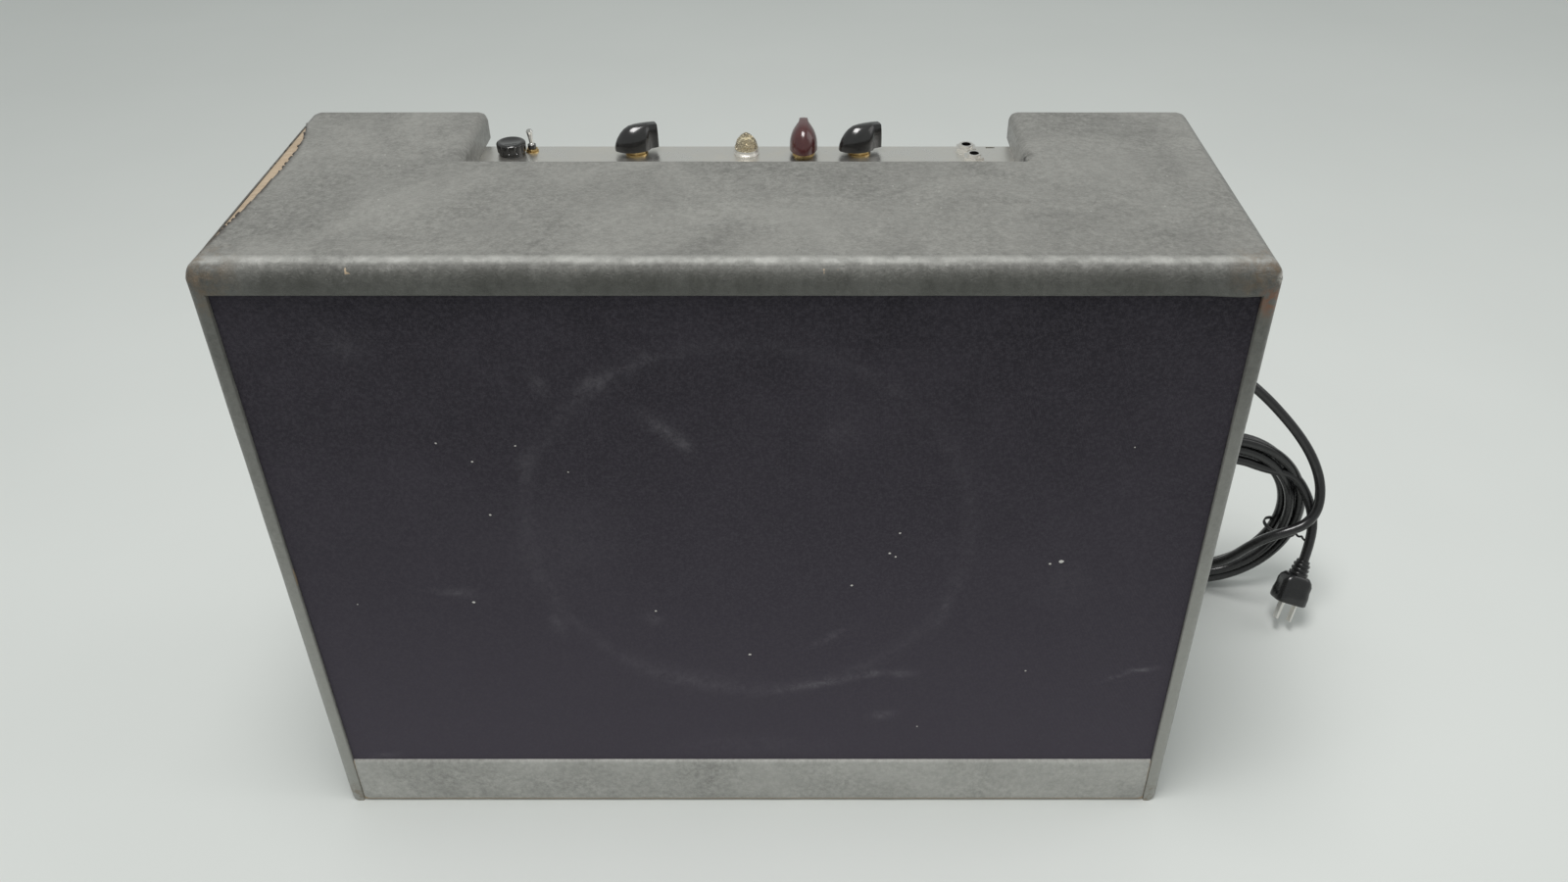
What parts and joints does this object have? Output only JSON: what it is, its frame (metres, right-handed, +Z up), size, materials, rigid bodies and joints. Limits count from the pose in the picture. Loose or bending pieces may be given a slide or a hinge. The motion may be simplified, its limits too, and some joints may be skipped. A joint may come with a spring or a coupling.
{
  "type": "combo guitar amplifier",
  "caption": "Open-backed combo guitar amplifier in grey covering, with a black grille, a sunk rear top control panel and a coiled mains cord.",
  "frame": {"origin": "middle of the cabinet's footprint, on the floor, without the cord", "axes": "+X to the right as the grille is faced, +Y to the open back, +Z up"},
  "size_m": [0.785, 0.2595, 0.4562],
  "materials": {
    "plywood": "bare plywood",
    "covering": "grained grey vinyl covering",
    "grille_cloth": "matt black woven cloth",
    "screw_steel": "zinc plated screws",
    "panel_steel": "polished plated steel",
    "nickel": "nickel plated brass",
    "brass": "brass",
    "black_phenolic": "glossy black moulding",
    "maroon_phenolic": "glossy maroon moulding",
    "jewel_glass": "faceted amber glass",
    "lamp": "small lamp in its holder",
    "fuse_glass": "glass fuse",
    "switch_metal": "plated switch",
    "board_fibre": "waxed fibre board",
    "capacitor_yellow": "moulded capacitors",
    "resistor_brown": "carbon resistors",
    "capacitor_silver": "sleeved electrolytic capacitors",
    "socket_brown": "moulded valve sockets",
    "valve_glass": "valve envelopes",
    "transformer_black": "black painted bells and core",
    "frame_grey": "grey painted basket",
    "cone_paper": "pressed paper",
    "spider_cloth": "resin treated cloth",
    "coil_former": "wound former",
    "magnet": "magnet",
    "yoke_steel": "plated steel plates",
    "lead_wire": "cloth covered wire",
    "cord_black": "glossy black cord",
    "tie_wire": "black coated wire tie"
  },
  "bodies": {
    "root": {"top_board": "plywood", "left_side_board": "plywood", "right_side_board": "plywood", "bottom_board": "plywood", "front_rail": "plywood", "wrap_covering": "covering", "bottom_covering": "covering", "grille_cloth": "grille_cloth", "baffle_board": "plywood", "wood_screws": "screw_steel", "back_cleats": "plywood", "upper_back_panel": "covering", "lower_back_panel": "covering", "chassis": "panel_steel", "pot_bodies": "switch_metal", "pot_nuts": "brass", "pilot_bezel": "nickel", "pilot_jewel": "jewel_glass", "pilot_bulb_holder": "lamp", "fuse_holder": "black_phenolic", "switch_body": "switch_metal", "switch_nut": "brass", "input_jacks": "nickel", "jack_nuts": "nickel", "circuit_board": "board_fibre", "signal_capacitors": "capacitor_yellow", "resistors": "resistor_brown", "filter_capacitors": "capacitor_silver", "tube_sockets": "socket_brown", "preamp_tubes": "valve_glass", "power_tubes": "valve_glass", "rectifier_tube": "valve_glass", "power_transformer": "transformer_black", "output_transformer": "transformer_black", "speaker_frame": "frame_grey", "speaker_bolts": "screw_steel", "speaker_surround": "cone_paper", "spider": "spider_cloth", "magnet_ring": "magnet", "magnet_yoke": "yoke_steel", "speaker_leads": "lead_wire", "strain_relief": "cord_black", "cord_lead": "cord_black", "cord_coil": "cord_black", "cord_tail": "cord_black", "coil_tie": "tie_wire", "plug_body": "cord_black", "plug_pins": "brass"},
    "volume": {"volume_knob": "black_phenolic", "volume_shaft": "brass"},
    "middle": {"middle_knob": "maroon_phenolic", "middle_shaft": "brass"},
    "tone": {"tone_knob": "black_phenolic", "tone_shaft": "brass"},
    "fuse_carrier": {"fuse_cap": "black_phenolic", "fuse": "fuse_glass"},
    "lever": {"switch_lever": "nickel"},
    "cone": {"speaker_cone": "cone_paper", "dust_cap": "cone_paper", "voice_coil": "coil_former"}
  },
  "joints": [
    {"name": "volume_turn", "type": "hinge", "parent": "root", "child": "volume", "pos_m": [-0.0762, 0.085, 0.436], "axis": [0, 0, 1], "range_deg": [-60, 240]},
    {"name": "middle_turn", "type": "hinge", "parent": "root", "child": "middle", "pos_m": [0.0381, 0.085, 0.436], "axis": [0, 0, 1], "range_deg": [-150, 150]},
    {"name": "tone_turn", "type": "hinge", "parent": "root", "child": "tone", "pos_m": [0.0762, 0.085, 0.436], "axis": [0, 0, 1], "range_deg": [-60, 240]},
    {"name": "fuse_cap_turn", "type": "hinge", "parent": "root", "child": "fuse_carrier", "pos_m": [-0.1617, 0.085, 0.436], "axis": [0, 0, 1], "range_deg": [0, 60]},
    {"name": "switch_flip", "type": "hinge", "parent": "root", "child": "lever", "pos_m": [-0.1483, 0.088, 0.4404], "axis": [0, 1, 0], "range_deg": [0, 24]},
    {"name": "cone_travel", "type": "slide", "parent": "root", "child": "cone", "axis": [0, 1, 0], "range_m": [-0.003, 0.003], "stiffness_N_per_m": 4000}
  ]
}
